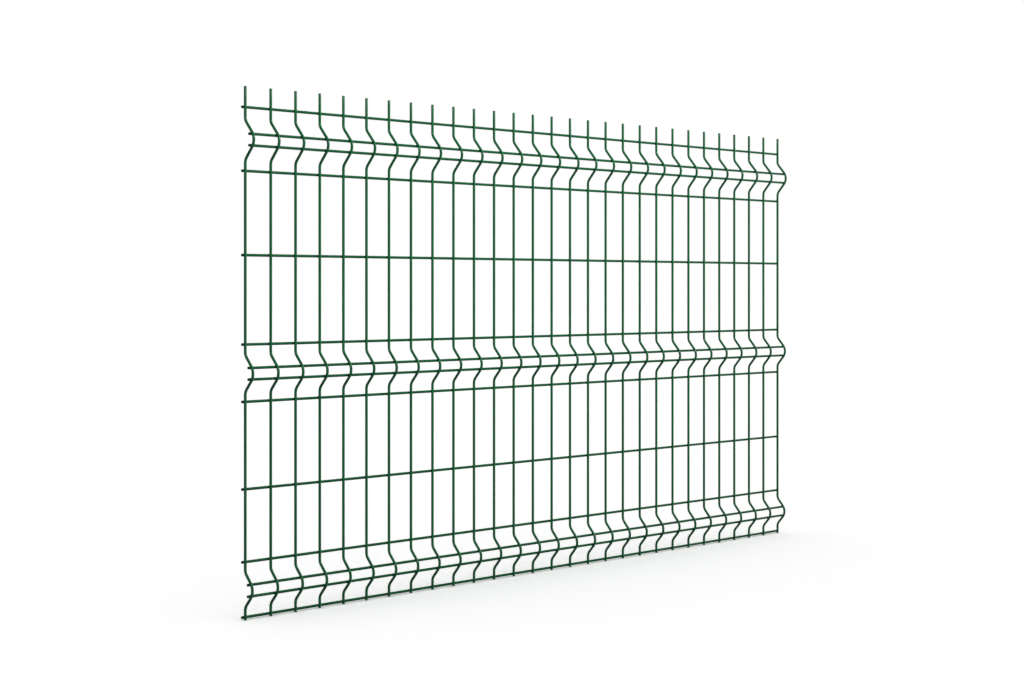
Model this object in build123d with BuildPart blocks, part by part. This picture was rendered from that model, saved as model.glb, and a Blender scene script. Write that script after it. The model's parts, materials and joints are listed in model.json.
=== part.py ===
from build123d import *
from math import cos, radians, sin, tan
import os

# Welded mesh fence panel of bent steel wire. All sizes in millimetres.
# X runs along the panel, Z is up, and the three folds stand out towards -Y.
# The origin is the middle of the cut foot of the middle upright wire.

# Wires, measured over their coating
upright_wire = 6.8
cross_wire = 6.8
wire_sides = 8

# Upright wires, side by side
upright_count = 29
upright_pitch = 75.0
cross_wire_overhang = 5.0

# Heights, as steps from the foot to the top that end at a cross wire or at the middle of a fold
foot_stub = 5.5
lower_fold_rise = 63.5
lower_fold_cover = 63.5
lower_short_mesh = 167.5
lower_long_mesh = 201.5
middle_fold_rise = 65.5
middle_fold_cover = 66.5
upper_long_mesh = 206.0
upper_short_mesh = 194.0
upper_fold_rise = 70.5
upper_fold_cover = 76.5
top_spike = 47.5

# Folds, from the straight wire's middle line to the crown's
lower_fold_depth = 26.0
middle_fold_depth = 28.0
upper_fold_depth = 31.0
fold_angle = 41.0
crown_radius = 27.0
shoulder_radius = 20.0

os.makedirs("parts", exist_ok=True)

# Each step is added to the one below it
bottom_height = foot_stub
lower_fold_height = bottom_height + lower_fold_rise
lower_cover_height = lower_fold_height + lower_fold_cover
lower_mesh_height = lower_cover_height + lower_short_mesh
middle_rise_height = lower_mesh_height + lower_long_mesh
middle_fold_height = middle_rise_height + middle_fold_rise
middle_cover_height = middle_fold_height + middle_fold_cover
upper_mesh_height = middle_cover_height + upper_long_mesh
upper_rise_height = upper_mesh_height + upper_short_mesh
upper_fold_height = upper_rise_height + upper_fold_rise
top_height = upper_fold_height + upper_fold_cover
panel_height = top_height + top_spike

straight_rows = {
    "bottom_wire": bottom_height,
    "above_lower_fold_wire": lower_cover_height,
    "lower_mesh_wire": lower_mesh_height,
    "below_middle_fold_wire": middle_rise_height,
    "above_middle_fold_wire": middle_cover_height,
    "upper_mesh_wire": upper_mesh_height,
    "below_upper_fold_wire": upper_rise_height,
    "top_wire": top_height,
}
folds = {
    "lower": (lower_fold_height, lower_fold_depth),
    "middle": (middle_fold_height, middle_fold_depth),
    "upper": (upper_fold_height, upper_fold_depth),
}

turn = radians(fold_angle)
wire_gap = (upright_wire + cross_wire) / 2
flat_turn = 180.0 / wire_sides


def half_fold(depth):
    """Corners of an upright's middle line, from the crown up to the straight wire.

    Each corner is (y, height above the middle of the fold). A bend is drawn with short
    straight lines that touch its true arc.
    """
    crown_y = crown_radius - depth
    reach = crown_radius / cos(turn / 4)
    corners = [(crown_y - reach * cos(angle), reach * sin(angle)) for angle in (turn / 4, turn * 3 / 4)]
    # From the end of the crown the slope runs back to the line of the straight wire
    slope_y = crown_y - crown_radius * cos(turn)
    slope_height = crown_radius * sin(turn)
    shoulder_height = slope_height - slope_y / tan(turn)
    # The shoulder's two corners lie as far from that meeting as its radius asks
    setback = shoulder_radius * (tan(turn / 2) - tan(turn / 4))
    corners.append((-setback * sin(turn), shoulder_height - setback * cos(turn)))
    corners.append((0, shoulder_height + setback))
    return corners


def bent_line():
    """The upright's middle line from foot to top, as (y, z) corners."""
    line = [(0, 0)]
    for height, depth in folds.values():
        upper_half = half_fold(depth)
        line += [(y, height - z) for y, z in reversed(upper_half)]
        line += [(y, height + z) for y, z in upper_half]
    line.append((0, panel_height))
    return line


# Upright wires, each bent at the three folds
upright_line = bent_line()
for number in range(1, upright_count + 1):
    wire_x = (number - (upright_count + 1) / 2) * upright_pitch
    with BuildPart() as upright:
        with BuildLine(Plane.YZ.offset(wire_x)):
            Polyline(*upright_line)
        with BuildSketch(Plane(origin=(wire_x, 0, 0))):
            RegularPolygon(upright_wire / 2, wire_sides, major_radius=False, rotation=flat_turn)
        sweep(transition=Transition.RIGHT)
    upright.part.label = f"upright_wire_{number:02d}"
    export_step(upright.part, f"parts/{upright.part.label}.step")

# Seats of the cross wires, behind the uprights: name, y, z and slope of the seat
cross_seats = [(name, wire_gap, height, 0) for name, height in straight_rows.items()]
seat_radius = crown_radius - wire_gap
for fold, (height, depth) in folds.items():
    # Two lie inside each fold, where its slopes meet its crown
    seat_y = crown_radius - depth - seat_radius * cos(turn)
    seat_z = seat_radius * sin(turn)
    cross_seats.append((f"{fold}_fold_lower_wire", seat_y, height - seat_z, -fold_angle))
    cross_seats.append((f"{fold}_fold_upper_wire", seat_y, height + seat_z, fold_angle))

# Cross wires, straight from end to end, turned so that a flat lies on the uprights
cross_length = (upright_count - 1) * upright_pitch + 2 * cross_wire_overhang
for name, seat_y, seat_z, slope in cross_seats:
    with BuildPart() as cross:
        with BuildSketch(Plane.YZ):
            with Locations((seat_y, seat_z)):
                RegularPolygon(cross_wire / 2, wire_sides, major_radius=False, rotation=flat_turn - slope)
        extrude(amount=cross_length / 2, both=True)
    cross.part.label = name
    export_step(cross.part, f"parts/{name}.step")
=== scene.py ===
# %% [markdown]
# A welded mesh fence panel: upright steel wires, bent forward into three folds, and straight
# cross wires welded behind them, all under one dark green coat.
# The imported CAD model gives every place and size. This script dresses it: round wires in place
# of eight-sided bars, a small weld at every crossing, the coat, the studio and the camera.
# Blender starts with a cube, a lamp and a camera of its own, so those are removed first.

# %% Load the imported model
import bpy
import json
from math import asin, cos, degrees, pi, radians, sin, tan
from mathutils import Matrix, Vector

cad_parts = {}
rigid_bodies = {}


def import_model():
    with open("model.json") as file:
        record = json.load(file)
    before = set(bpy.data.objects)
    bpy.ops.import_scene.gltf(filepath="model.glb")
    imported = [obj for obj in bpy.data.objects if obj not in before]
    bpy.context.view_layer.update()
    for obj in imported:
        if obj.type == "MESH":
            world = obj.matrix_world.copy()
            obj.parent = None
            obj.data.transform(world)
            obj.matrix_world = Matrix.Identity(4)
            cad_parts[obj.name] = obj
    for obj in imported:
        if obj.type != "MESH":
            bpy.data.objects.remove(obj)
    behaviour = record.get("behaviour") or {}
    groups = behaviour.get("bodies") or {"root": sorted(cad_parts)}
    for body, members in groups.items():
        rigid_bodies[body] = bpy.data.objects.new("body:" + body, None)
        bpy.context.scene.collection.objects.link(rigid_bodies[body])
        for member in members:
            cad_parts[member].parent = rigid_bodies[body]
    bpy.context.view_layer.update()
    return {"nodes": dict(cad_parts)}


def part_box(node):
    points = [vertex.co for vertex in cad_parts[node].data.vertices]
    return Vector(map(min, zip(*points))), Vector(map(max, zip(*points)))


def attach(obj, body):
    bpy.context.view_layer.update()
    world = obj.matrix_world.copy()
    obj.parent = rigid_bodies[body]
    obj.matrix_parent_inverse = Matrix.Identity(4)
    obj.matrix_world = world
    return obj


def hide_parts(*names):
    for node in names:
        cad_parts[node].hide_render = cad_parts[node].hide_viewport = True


for starter in list(bpy.data.objects):
    bpy.data.objects.remove(starter)
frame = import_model()

# %% [markdown]
# The wires' sizes are measured on the CAD nodes, so the dressed pieces fit them without any
# fitting by eye. A straight cross wire lies with its flats level, so its box is as high as the
# wire is thick, and an upright's box is as wide as its wire.
# A pair of cross wires lies inside each fold, where its slopes meet its round crown. Their
# distance apart gives the angle of the slopes, which is the same on every fold, and how far
# forward they lie gives the fold's depth. The radii are those of the tools that bend the wire.

# %% Measure the wires and the folds
MM = 0.001
upright_names = sorted(name for name in frame["nodes"] if name.startswith("upright_wire_"))
fold_names = ["lower", "middle", "upper"]
fold_wire_names = [f"{fold}_fold_{side}_wire" for fold in fold_names for side in ("lower", "upper")]
straight_names = sorted(set(frame["nodes"]) - set(upright_names) - set(fold_wire_names))


def middle_of(node):
    """The middle of a CAD node's box."""
    low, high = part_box(node)
    return (low + high) / 2


middle_low, middle_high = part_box(upright_names[len(upright_names) // 2])
upright_radius = (middle_high.x - middle_low.x) / 2
panel_top = middle_high.z
top_low, top_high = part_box("top_wire")
cross_radius = (top_high.z - top_low.z) / 2
cross_half_length = (top_high.x - top_low.x) / 2
upright_pitch = middle_of(upright_names[1]).x - middle_of(upright_names[0]).x
wire_gap = upright_radius + cross_radius

crown_radius = 27.0 * MM
shoulder_radius = 20.0 * MM
seat_radius = crown_radius - wire_gap

folds = {}
for fold in fold_names:
    lower_wire = middle_of(f"{fold}_fold_lower_wire")
    upper_wire = middle_of(f"{fold}_fold_upper_wire")
    slope_angle = asin((upper_wire.z - lower_wire.z) / 2 / seat_radius)
    depth = crown_radius - seat_radius * cos(slope_angle) - upper_wire.y
    folds[fold] = ((lower_wire.z + upper_wire.z) / 2, depth)
    print(fold, "fold at", round(folds[fold][0], 4), "m, depth", round(depth, 4), "m")
print("wires", 2 * upright_radius, 2 * cross_radius, "slope", round(degrees(slope_angle), 2), "degrees")

# %% [markdown]
# On the real panel each upright is one length of drawn steel wire, sheared to length and bent in
# a press together with all its neighbours, so every upright has the same three folds.
# It could be a curve with a round bevel, but a curve hides its mesh until the end. Here a ring of
# vertices is pulled along the way the wire goes: extruded where the wire is straight, and spun
# about the bend's own centre where the press tool turned it, so each bend has its real radius.

# %% Helpers for working in edit mode
WIRE_SIDES = 24
BEND_STEP = radians(7)
CUT_EDGE = 0.7 * MM
CUT_EDGE_STEPS = 3
RING_TOLERANCE = 0.01 * MM
SMOOTH_UNDER = radians(40)


def deselect_all():
    """Leaves nothing selected, because an operator acts on all that is."""
    bpy.ops.object.select_all(action="DESELECT")


def pull(move):
    """Extrudes the selected ring by a move (x, y, z)."""
    bpy.ops.mesh.extrude_region_move(TRANSFORM_OT_translate={"value": move})


def bend(angle, centre_y, centre_z):
    """Spins the selected ring about a bend's centre. With no window, spin turns the other way."""
    steps = max(2, round(abs(angle) / BEND_STEP))
    bpy.ops.mesh.spin(steps=steps, angle=-angle, center=(0, centre_y, centre_z), axis=(1, 0, 0))


def select_ring(piece, axis, place):
    """Selects the vertices that lie at a place along an axis, and nothing else."""
    bpy.ops.mesh.select_all(action="DESELECT")
    bpy.ops.object.mode_set(mode="OBJECT")
    for vertex in piece.data.vertices:
        vertex.select = abs(vertex.co[axis] - place) < RING_TOLERANCE
    bpy.ops.object.mode_set(mode="EDIT")


def close_cut_ends(piece, axis, places):
    """Fills a wire's two open ends and rounds their edges, as the coat does on a sheared end."""
    for place in places:
        select_ring(piece, axis, place)
        bpy.ops.mesh.edge_face_add()
        bpy.ops.mesh.bevel(offset=CUT_EDGE, segments=CUT_EDGE_STEPS)
    bpy.ops.mesh.select_all(action="SELECT")
    bpy.ops.mesh.normals_make_consistent(inside=False)


def finish_piece(piece):
    """Leaves edit mode, makes all but the sharp edges smooth, and prints what came out."""
    bpy.ops.object.mode_set(mode="OBJECT")
    bpy.ops.object.transform_apply(location=True, rotation=True, scale=True)
    bpy.ops.object.shade_smooth_by_angle(angle=SMOOTH_UNDER)
    sides = {key: 0 for key in piece.data.edge_keys}
    for polygon in piece.data.polygons:
        for key in polygon.edge_keys:
            sides[key] += 1
    open_edges = sum(1 for count in sides.values() if count != 2)
    print(piece.name, len(piece.data.polygons), "faces,", open_edges, "open edges")


# %% Pull one upright wire from foot to top
deselect_all()
bpy.ops.mesh.primitive_circle_add(vertices=WIRE_SIDES, radius=upright_radius, location=(0, 0, 0))
upright_model = bpy.context.object
upright_model.name = "upright_model"
bpy.ops.object.mode_set(mode="EDIT")
bpy.ops.mesh.select_all(action="SELECT")

# Each fold is a shoulder, a slope, the crown, a slope and a shoulder
wire_height = 0
shoulder_tangent = shoulder_radius * tan(slope_angle / 2)
for height, depth in folds.values():
    crown_y = crown_radius - depth
    crown_end_y = crown_y - crown_radius * cos(slope_angle)
    crown_end_rise = crown_radius * sin(slope_angle)
    meeting_rise = crown_end_rise - crown_end_y / tan(slope_angle)
    slope_length = -crown_end_y / sin(slope_angle) - shoulder_tangent
    slope_out = slope_length * sin(slope_angle)
    slope_up = slope_length * cos(slope_angle)
    shoulder_z = height - meeting_rise - shoulder_tangent
    pull((0, 0, shoulder_z - wire_height))
    bend(slope_angle, -shoulder_radius, shoulder_z)
    pull((0, -slope_out, slope_up))
    bend(-2 * slope_angle, crown_y, height)
    pull((0, slope_out, slope_up))
    wire_height = height + meeting_rise + shoulder_tangent
    bend(slope_angle, -shoulder_radius, wire_height)
pull((0, 0, panel_top - wire_height))
# The last ring is flattened, because the bends leave it a hair off level
bpy.ops.transform.resize(value=(1, 1, 0), center_override=(0, 0, panel_top))

# %% [markdown]
# The real wires are sheared to length before they are coated, so their ends are flat, and the
# coat rounds the sharp edge. The open rings are filled with one face each, and the edge gets a
# small bevel, which also gives each top end the bright rim that a plain cut lacks.

# %% Close the upright's cut ends
close_cut_ends(upright_model, 2, (0, panel_top))
finish_piece(upright_model)

# %% [markdown]
# All the uprights are alike, so the finished one is copied to each place that the CAD gives. An
# array would put them all in one mesh, but each upright is a part of its own in the model, so
# each copy gets its own mesh and takes its place in it, and its object stays at the origin.

# %% Copy the upright to its places


def place_copy(model, name, turn_x=0, move=(0, 0, 0)):
    """Copies a finished model with its own mesh, turns and moves it, and applies both."""
    deselect_all()
    model.select_set(True)
    bpy.context.view_layer.objects.active = model
    bpy.ops.object.duplicate(linked=False)
    piece = bpy.context.object
    piece.name = name
    piece.data.name = name
    piece.rotation_euler.x = turn_x
    piece.location = move
    bpy.ops.object.transform_apply(location=True, rotation=True, scale=True)
    return piece


uprights = []
for name in upright_names:
    coated_name = name.replace("upright_wire", "coated_upright")
    upright = place_copy(upright_model, coated_name, move=(middle_of(name).x, 0, 0))
    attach(upright, "root")
    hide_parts(name)
    uprights.append(upright)
bpy.data.objects.remove(upright_model)
print(len(uprights), "uprights", upright_pitch, "m apart")

# %% [markdown]
# The cross wires are straight lengths of the same wire that run the whole length of the panel.
# One is pulled from a ring along X, and closed and rounded as the uprights are.

# %% Pull one cross wire and copy it to its seats
deselect_all()
bpy.ops.mesh.primitive_circle_add(
    vertices=WIRE_SIDES, radius=cross_radius, location=(-cross_half_length, 0, 0), rotation=(0, pi / 2, 0)
)
cross_model = bpy.context.object
cross_model.name = "cross_model"
bpy.ops.object.transform_apply(location=True, rotation=True, scale=True)
bpy.ops.object.mode_set(mode="EDIT")
bpy.ops.mesh.select_all(action="SELECT")
pull((2 * cross_half_length, 0, 0))
close_cut_ends(cross_model, 0, (-cross_half_length, cross_half_length))
finish_piece(cross_model)

cross_wires = []
for name in straight_names + fold_wire_names:
    seat = middle_of(name)
    cross_wire = place_copy(cross_model, f"coated_{name}", move=(0, seat.y, seat.z))
    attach(cross_wire, "root")
    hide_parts(name)
    cross_wires.append(cross_wire)
bpy.data.objects.remove(cross_model)
print(len(cross_wires), "cross wires")

# %% [markdown]
# At each crossing the two wires are pressed together between copper electrodes, and a short
# strong current melts the touching spot. A little steel is squeezed out, and the coat rounds it
# off, so a small collar fills the narrow gap round the spot where the two round wires touch.
# One collar is modelled: a ring of twelve that is pulled from inside one wire to inside the
# other, and is widest where they touch. There are hundreds of them, so it has few faces.
# Its profile gives, in millimetres, how far each ring lies from the touching spot, and its radius.

# %% Model one weld collar
WELD_SIDES = 12
WELD_PROFILE = ((-0.85, 1.2), (-0.45, 2.15), (0.0, 2.45), (0.45, 2.15), (0.85, 1.2))

deselect_all()
last_y, last_radius = WELD_PROFILE[0]
bpy.ops.mesh.primitive_circle_add(
    vertices=WELD_SIDES, radius=last_radius * MM, location=(0, last_y * MM, 0), rotation=(pi / 2, 0, 0)
)
weld_model = bpy.context.object
weld_model.name = "weld_model"
bpy.ops.object.transform_apply(location=True, rotation=True, scale=True)
bpy.ops.object.mode_set(mode="EDIT")
bpy.ops.mesh.select_all(action="SELECT")
for y, radius in WELD_PROFILE[1:]:
    pull((0, (y - last_y) * MM, 0))
    grow = radius / last_radius
    bpy.ops.transform.resize(value=(grow, 1, grow), center_override=(0, y * MM, 0))
    last_y, last_radius = y, radius
for y in (WELD_PROFILE[0][0], WELD_PROFILE[-1][0]):
    select_ring(weld_model, 1, y * MM)
    bpy.ops.mesh.edge_face_add()
bpy.ops.mesh.select_all(action="SELECT")
bpy.ops.mesh.normals_make_consistent(inside=False)
finish_piece(weld_model)

# %% [markdown]
# A row of collars lies along each cross wire, one per upright, on the line where the wires touch.
# On the straight rows that line is on the back of the uprights. Inside a fold it is on the inner
# side of the crown, towards the crown's centre, so the collar is turned with the slope.
# The row is an array, because its collars are welds on one cross wire and not parts of their own.

# %% Lay a row of collars along each cross wire


def weld_row(name, turn_x, y, z):
    """An array of collars, one at each upright, joined into one mesh."""
    row = place_copy(weld_model, f"{name}_welds", turn_x, (middle_of(upright_names[0]).x, y, z))
    row_array = row.modifiers.new("one per upright", "ARRAY")
    row_array.use_relative_offset = False
    row_array.use_constant_offset = True
    row_array.constant_offset_displace = (upright_pitch, 0, 0)
    row_array.count = len(upright_names)
    bpy.ops.object.modifier_apply(modifier=row_array.name)
    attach(row, "root")
    return row


weld_rows = []
for name in straight_names:
    weld_rows.append(weld_row(name, 0, upright_radius, middle_of(name).z))
for fold, (height, depth) in folds.items():
    contact_radius = crown_radius - upright_radius
    contact_y = crown_radius - depth - contact_radius * cos(slope_angle)
    contact_rise = contact_radius * sin(slope_angle)
    for side, way in (("lower", -1), ("upper", 1)):
        name = f"{fold}_fold_{side}_wire"
        weld_rows.append(weld_row(name, -way * slope_angle, contact_y, height + way * contact_rise))
bpy.data.objects.remove(weld_model)
faces_a_row = len(weld_rows[0].data.polygons)
print(len(weld_rows), "rows of", len(upright_names), "welds,", faces_a_row, "faces a row")

# %% [markdown]
# The real coat is a plastic: the galvanised panel is heated and dipped into a cloud of powder, which
# melts on it and fuses to a skin nearly half a millimetre thick. It is glossy, a deep moss green,
# and never quite even: it flows into a faint orange-peel skin a couple of millimetres across, and
# lies a little thicker, so a little darker, in soft patches.
# The colour, the peel and the gloss are all drawn from the wire's own place in space, so every
# wire gets its own pattern. The peel is drawn half as coarse again as it is, and about twice as
# deep, so that it shows as a fine wave in the glints. The coat's specular level is low, because
# it mirrors a surround that is white on every side. On the welds the coat is a little duller.
# The cross wires and the welds wear the same coat as the uprights, but their greens are written
# darker: that is painted shade, darkest on the welds at the crossings.

# %% Helpers for the materials


def linear(hex_colour):
    """Turns an sRGB hex colour such as 1B4F32 into the linear colour that Blender works in."""
    channels = [int(hex_colour[i : i + 2], 16) / 255 for i in (0, 2, 4)]
    return [c / 12.92 if c <= 0.04045 else ((c + 0.055) / 1.055) ** 2.4 for c in channels] + [1]


def add_node(tree, kind, settings=(), links=()):
    """Adds a node, sets its properties and sockets by name, and links sockets into it."""
    node = tree.nodes.new(kind)
    for name, value in dict(settings).items():
        if name in node.inputs:
            node.inputs[name].default_value = value
        else:
            setattr(node, name, value)
    for name, source in dict(links).items():
        tree.links.new(source, node.inputs[name])
    return node


# %% Moss green plastic coat
PATCH_SIZE = 45 * MM
PATCH_SPREAD = (0.35, 0.65)
GLOSS_SPREAD = (0.3, 0.7)
PEEL_SIZE = 3 * MM
PEEL_DEPTH = 0.1 * MM
PLASTIC_IOR = 1.5


def fused_plastic(name, thin_colour, thick_colour, roughness, shine):
    """Plastic fused on from powder: two greens in soft patches, orange peel and uneven gloss."""
    material = bpy.data.materials.new(name)
    material.use_nodes = True
    tree = material.node_tree
    tree.nodes.clear()
    place = add_node(tree, "ShaderNodeTexCoord").outputs["Object"]
    patches = add_node(
        tree,
        "ShaderNodeTexNoise",
        {"Scale": 1 / PATCH_SIZE, "Detail": 3.0, "Roughness": 0.6},
        {"Vector": place},
    )
    share = add_node(
        tree,
        "ShaderNodeMapRange",
        {"From Min": PATCH_SPREAD[0], "From Max": PATCH_SPREAD[1]},
        {"Value": patches.outputs["Fac"]},
    )
    ramp = add_node(tree, "ShaderNodeValToRGB", {}, {"Fac": share.outputs["Result"]})
    ramp.color_ramp.elements[0].color = linear(thin_colour)
    ramp.color_ramp.elements[1].color = linear(thick_colour)
    peel = add_node(
        tree, "ShaderNodeTexNoise", {"Scale": 1 / PEEL_SIZE, "Detail": 1.0}, {"Vector": place}
    )
    skin = add_node(
        tree,
        "ShaderNodeBump",
        {"Distance": PEEL_DEPTH},
        {"Height": peel.outputs["Fac"]},
    )
    gloss = add_node(
        tree,
        "ShaderNodeMapRange",
        {
            "From Min": GLOSS_SPREAD[0],
            "From Max": GLOSS_SPREAD[1],
            "To Min": roughness[0],
            "To Max": roughness[1],
        },
        {"Value": patches.outputs["Fac"]},
    )
    shader = add_node(
        tree,
        "ShaderNodeBsdfPrincipled",
        {"IOR": PLASTIC_IOR, "Specular IOR Level": shine},
        {
            "Base Color": ramp.outputs["Color"],
            "Roughness": gloss.outputs["Result"],
            "Normal": skin.outputs["Normal"],
        },
    )
    add_node(tree, "ShaderNodeOutputMaterial", {}, {"Surface": shader.outputs["BSDF"]})
    return material


# %% Coat the wires and the welds
WIRE_ROUGHNESS = (0.18, 0.24)
WELD_ROUGHNESS = (0.34, 0.4)
UPRIGHT_SHINE = 0.09
CROSS_SHINE = 0.05

upright_coat = fused_plastic(
    "moss_green_fused_plastic_uprights", "0B4E2A", "094426", WIRE_ROUGHNESS, UPRIGHT_SHINE
)
# Same coat as the uprights, but the cross wires' greens are written darker: painted shade.
cross_coat_with_painted_shade = fused_plastic(
    "moss_green_fused_plastic_cross_wires", "0A4325", "083B21", WIRE_ROUGHNESS, CROSS_SHINE
)
# The welds' greens are written darker still: painted shade in the crossings.
weld_coat_with_painted_shade = fused_plastic(
    "moss_green_plastic_welds_painted_shade", "0B4024", "093920", WELD_ROUGHNESS, CROSS_SHINE
)
for pieces, coat in ((uprights, upright_coat), (cross_wires, cross_coat_with_painted_shade), (weld_rows, weld_coat_with_painted_shade)):
    for piece in pieces:
        piece.data.materials.clear()
        piece.data.materials.append(coat)
print("materials", [coat.name for coat in (upright_coat, cross_coat_with_painted_shade, weld_coat_with_painted_shade)])

# %% [markdown]
# The panel stands on a plain white floor before a plain white surround, as in a catalogue. What
# the camera and the glossy coat see is white, while the light that reaches the panel stays at a
# plain level. The floor is lit by the surround alone, which is the same on every side, so it is as
# even as paper and still keeps the panel's soft shadow. Its brightness for the eye is chosen so
# that it turns out just white where nothing shades it.

# %% White floor and surround
FLOOR_DROP = 0.2 * MM
FLOOR_SIZE = 80
AMBIENT_LEVEL = 0.45
PAPER_LEVEL = 0.8
UNSHADED_WHITE = 1.03


def seen_rays(tree):
    """1 for rays that show the surround to the eye: straight, mirrored or through glass."""
    path = add_node(tree, "ShaderNodeLightPath")
    shown = add_node(tree, "ShaderNodeMath", {"operation": "MAXIMUM"})
    tree.links.new(path.outputs["Is Camera Ray"], shown.inputs[0])
    tree.links.new(path.outputs["Is Glossy Ray"], shown.inputs[1])
    both = add_node(tree, "ShaderNodeMath", {"operation": "MAXIMUM"})
    tree.links.new(shown.outputs[0], both.inputs[0])
    tree.links.new(path.outputs["Is Transmission Ray"], both.inputs[1])
    return both.outputs[0]


world = bpy.data.worlds.new("white_surround")
bpy.context.scene.world = world
world.use_nodes = True
tree = world.node_tree
tree.nodes.clear()
two_levels = {"To Min": AMBIENT_LEVEL, "To Max": 1.0}
level = add_node(tree, "ShaderNodeMapRange", two_levels, {"Value": seen_rays(tree)})
surround = add_node(
    tree, "ShaderNodeBackground", {"Color": (1, 1, 1, 1)}, {"Strength": level.outputs["Result"]}
)
add_node(tree, "ShaderNodeOutputWorld", {}, {"Surface": surround.outputs["Background"]})

deselect_all()
bpy.ops.mesh.primitive_plane_add(size=FLOOR_SIZE, location=(0, 0, -FLOOR_DROP))
floor = bpy.context.object
floor.name = "floor"
floor_paper = bpy.data.materials.new("white_studio_floor")
floor_paper.use_nodes = True
tree = floor_paper.node_tree
tree.nodes.clear()
just_white = {"To Min": PAPER_LEVEL, "To Max": UNSHADED_WHITE / AMBIENT_LEVEL}
level = add_node(tree, "ShaderNodeMapRange", just_white, {"Value": seen_rays(tree)})
paper = add_node(tree, "ShaderNodeBsdfDiffuse", {}, {"Color": level.outputs["Result"]})
add_node(tree, "ShaderNodeOutputMaterial", {}, {"Surface": paper.outputs["BSDF"]})
floor.data.materials.append(floor_paper)
print("floor", FLOOR_SIZE, "m wide, lit at", AMBIENT_LEVEL)

# %% [markdown]
# A long, narrow soft lamp hangs before the panel, twice as high as its top. The top of the panel
# is nearer to it and so is lighter than the foot, and the crown of each fold, which leans back to
# the lamp just below its upper cross wire, mirrors it as a small glint.
# A second lamp of the same size hangs behind the panel, nearly as high, with less power. It keeps
# the back from looking black, and gives the cross wires a light upper edge. Both lamps light the
# panel only, so that their pools of light don't show on the floor.

# %% Soft studio lamps
LAMP_WIDTH = 3.2
LAMP_HEIGHT = 0.4

lit_pieces = bpy.data.collections.new("lit_by_the_lamps")
for piece in uprights + cross_wires + weld_rows:
    lit_pieces.objects.link(piece)


def soft_lamp(name, place, aim, power, spread):
    """A soft box that looks from a place at a point, with a grid that narrows its beam."""
    data = bpy.data.lights.new(name, "AREA")
    data.shape = "RECTANGLE"
    data.size = LAMP_WIDTH
    data.size_y = LAMP_HEIGHT
    data.spread = radians(spread)
    data.energy = power
    lamp = bpy.data.objects.new(name, data)
    bpy.context.scene.collection.objects.link(lamp)
    lamp.location = place
    away = lamp.location - Vector(aim)
    lamp.rotation_euler = away.to_track_quat("Z", "Y").to_euler()
    lamp.light_linking.receiver_collection = lit_pieces
    return lamp


key = soft_lamp("key_soft_box", place=(0.2, -2.7, 2.45), aim=(0, 0, 1.1), power=44, spread=65)
back = soft_lamp("back_soft_box", place=(0, 1.3, 2.3), aim=(0, 0, 0.7), power=22, spread=120)
print("lamps", key.name, back.name)

# %% [markdown]
# The camera stands level, a little above the panel's middle and well to its left, with a slightly
# long lens. Its place, turn and lens were fitted to the panel's own size in the photograph.

# %% Camera
FILM_WIDTH = 36
LENS = 65.56
LENS_SHIFT = -0.0526
CAMERA_PLACE = (-3.7476, -3.3881, 0.7645)
CAMERA_TURN = radians(-46.667)

camera_data = bpy.data.cameras.new("camera")
camera_data.sensor_width = FILM_WIDTH
camera_data.lens = LENS
camera_data.shift_y = LENS_SHIFT
camera = bpy.data.objects.new("camera", camera_data)
bpy.context.scene.collection.objects.link(camera)
camera.location = CAMERA_PLACE
camera.rotation_euler = (pi / 2, 0, CAMERA_TURN)
bpy.context.scene.camera = camera
bpy.context.scene.view_settings.view_transform = "Standard"
print("camera at", CAMERA_PLACE, "with a lens of", LENS, "mm")
